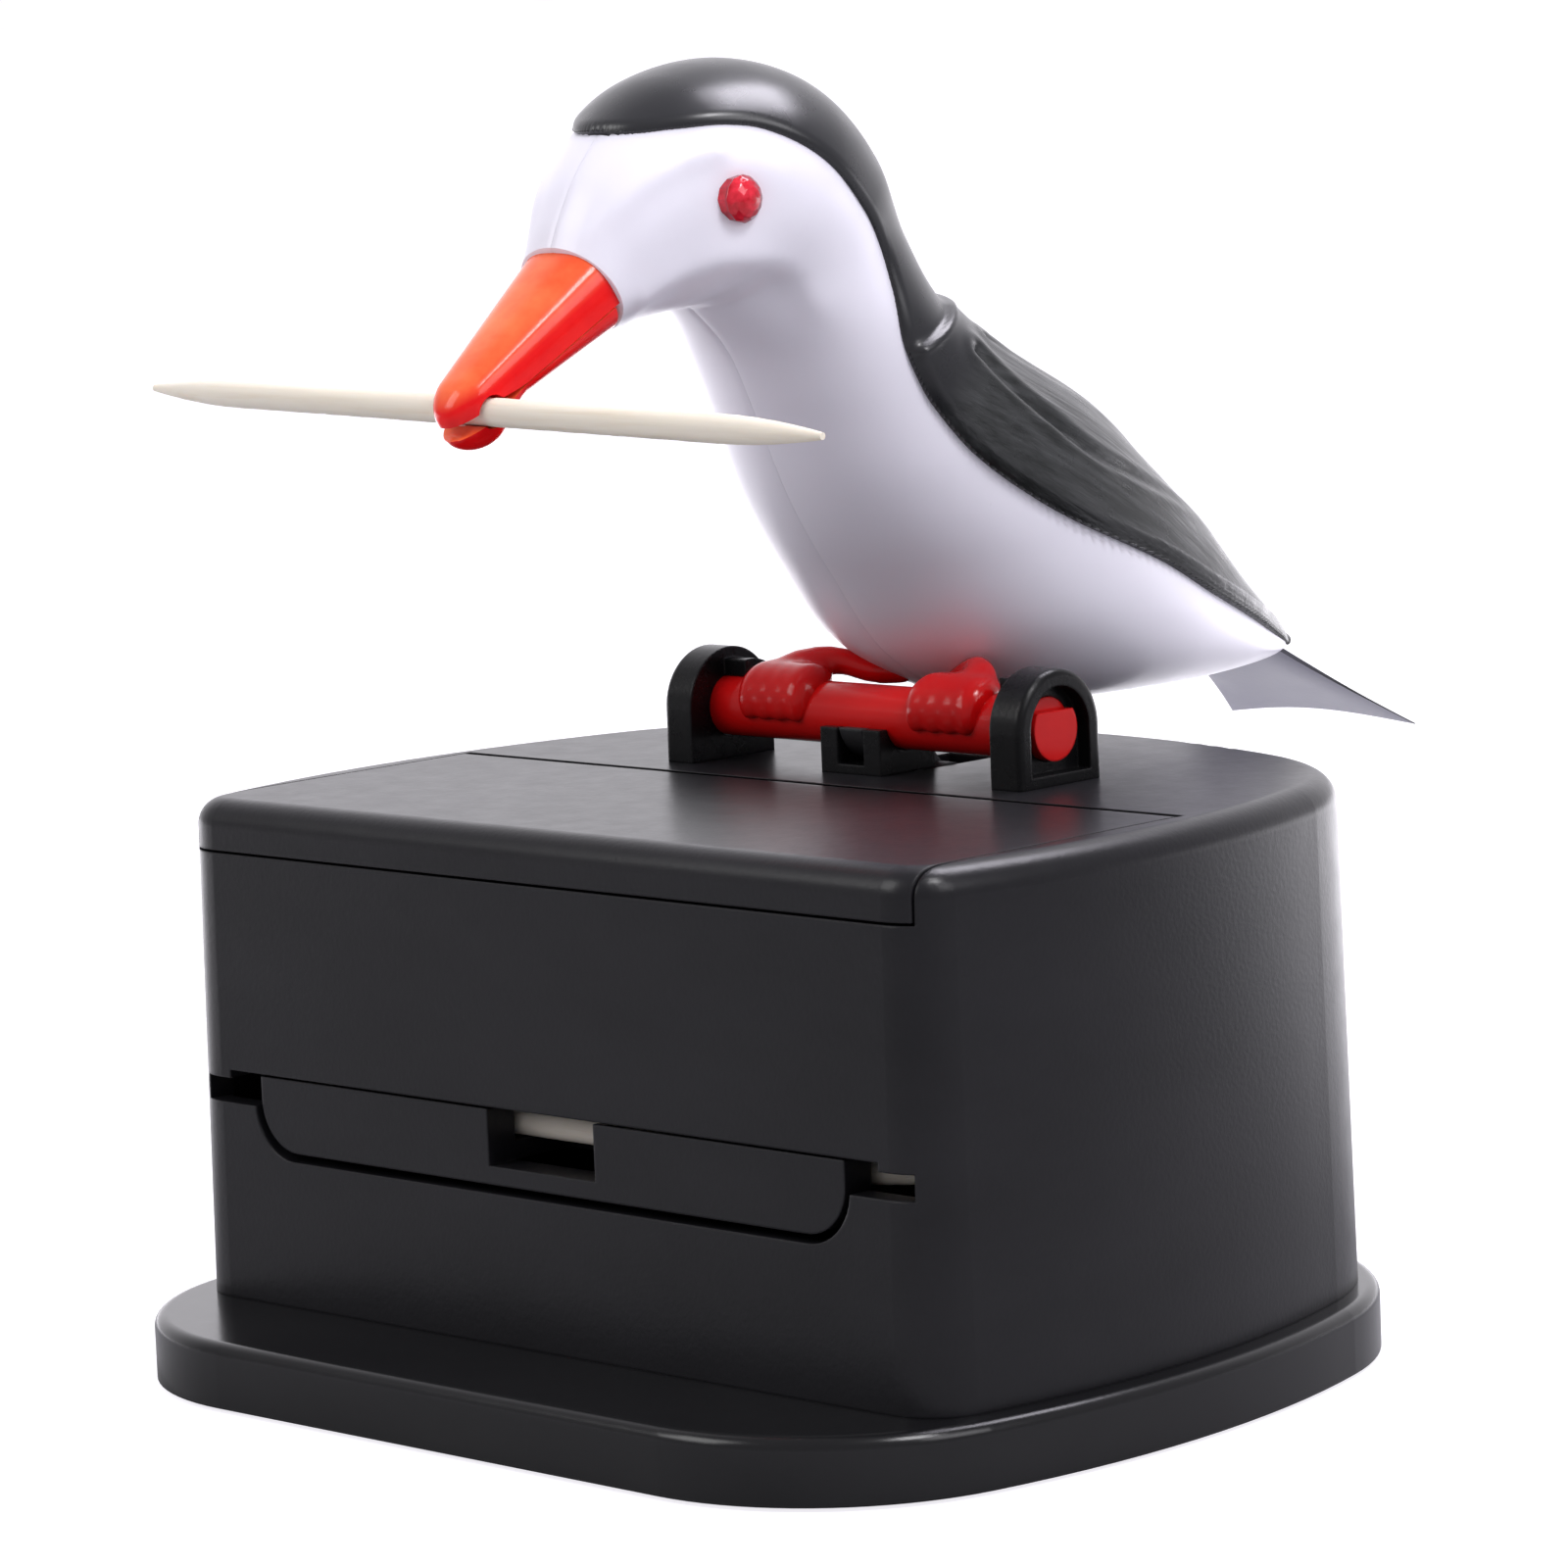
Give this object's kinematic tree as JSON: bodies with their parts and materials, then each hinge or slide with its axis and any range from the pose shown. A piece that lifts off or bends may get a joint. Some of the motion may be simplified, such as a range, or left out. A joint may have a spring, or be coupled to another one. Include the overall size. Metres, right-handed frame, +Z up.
{
  "type": "press-down bird toothpick dispenser",
  "caption": "Desk toothpick dispenser: a bird on a perch bows over a D-shaped box and takes a toothpick from a sliding feed tray.",
  "frame": {"origin": "on the desk under the pad, in the middle of the box's width", "axes": "+Z up, -Y the front with the feed tray, +X the bird's left"},
  "size_m": [0.0818, 0.0975, 0.0926],
  "materials": {
    "black_gloss": "glossy moulded ABS",
    "black_satin": "satin moulded ABS",
    "foam": "matte closed-cell foam",
    "screw_steel": "zinc-plated",
    "pin_steel": "drawn",
    "spring_steel": "drawn wire",
    "inner_plastic": "plain moulded",
    "toothpick_wood": "raw birch",
    "red_gloss": "glossy moulded",
    "white_body": "satin white moulded",
    "cover_black": "satin black moulded",
    "eye_red": "glossy faceted",
    "beak_orange": "glossy translucent"
  },
  "bodies": {
    "box": {"base_plate": "black_gloss", "non_slip_pad": "foam", "base_screws": "screw_steel", "housing": "black_satin", "lid_hinge_pins": "pin_steel", "hopper": "inner_plastic", "stored_toothpicks": "toothpick_wood", "rocker_pin": "pin_steel", "return_spring": "spring_steel", "bracket_left": "black_satin", "bracket_right": "black_satin", "centre_guide": "black_satin"},
    "lid": {"lid": "black_satin"},
    "bird": {"perch_rod": "red_gloss", "crank_arm": "inner_plastic", "bird_feet": "red_gloss", "body_left": "white_body", "body_right": "white_body", "back_cover": "cover_black", "eyes": "eye_red", "upper_beak": "beak_orange", "jaw_pin": "pin_steel", "jaw_spring": "spring_steel"},
    "lower_jaw": {"lower_beak": "beak_orange"},
    "held_pick": {"held_toothpick": "toothpick_wood"},
    "queued_pick": {"queued_toothpick": "toothpick_wood"},
    "link": {"link_rod": "inner_plastic"},
    "rocker": {"rocker": "inner_plastic"},
    "tray": {"feed_tray": "black_satin"}
  },
  "joints": [
    {"name": "bird_bow", "type": "hinge", "parent": "box", "child": "bird", "pos_m": [0, 0.0109, 0.0448], "axis": [-1, 0, 0], "range_deg": [-64, 0], "stiffness_Nm_per_rad": 0.01, "springref_deg": 11.46},
    {"name": "jaw_open", "type": "hinge", "parent": "bird", "child": "lower_jaw", "pos_m": [0, -0.0104, 0.0804], "axis": [1, 0, 0], "range_deg": [0, 6], "stiffness_Nm_per_rad": 0.005, "springref_deg": -17.19},
    {"name": "held_pick_pull", "type": "slide", "parent": "bird", "child": "held_pick", "axis": [0.9997, 0, -0.0262], "range_m": [0, 0.04]},
    {"name": "queued_pick_shift", "type": "slide", "parent": "box", "child": "queued_pick", "axis": [1, 0, 0], "range_m": [-0.0006, 0.0006]},
    {"name": "lid_open", "type": "hinge", "parent": "box", "child": "lid", "pos_m": [0, 0.0025, 0.0394], "axis": [-1, 0, 0], "range_deg": [0, 55]},
    {"name": "link_swing", "type": "hinge", "parent": "bird", "child": "link", "pos_m": [0.0021, 0.0154, 0.03944], "axis": [-1, 0, 0], "range_deg": [0, 64]},
    {"name": "rocker_turn", "type": "hinge", "parent": "box", "child": "rocker", "pos_m": [0, 0.0109, 0.0134], "axis": [-1, 0, 0], "range_deg": [-64, 0]},
    {"name": "tray_slide", "type": "slide", "parent": "box", "child": "tray", "axis": [0, -1, 0], "range_m": [0, 0.0085], "deforming": ["return_spring"]}
  ],
  "couplings": [
    {"joint": "link_swing", "follows": "bird_bow", "ratio": -1},
    {"joint": "rocker_turn", "follows": "bird_bow", "ratio": 1},
    {"joint": "tray_slide", "follows": "bird_bow", "m_per_rad": -0.0076096}
  ]
}
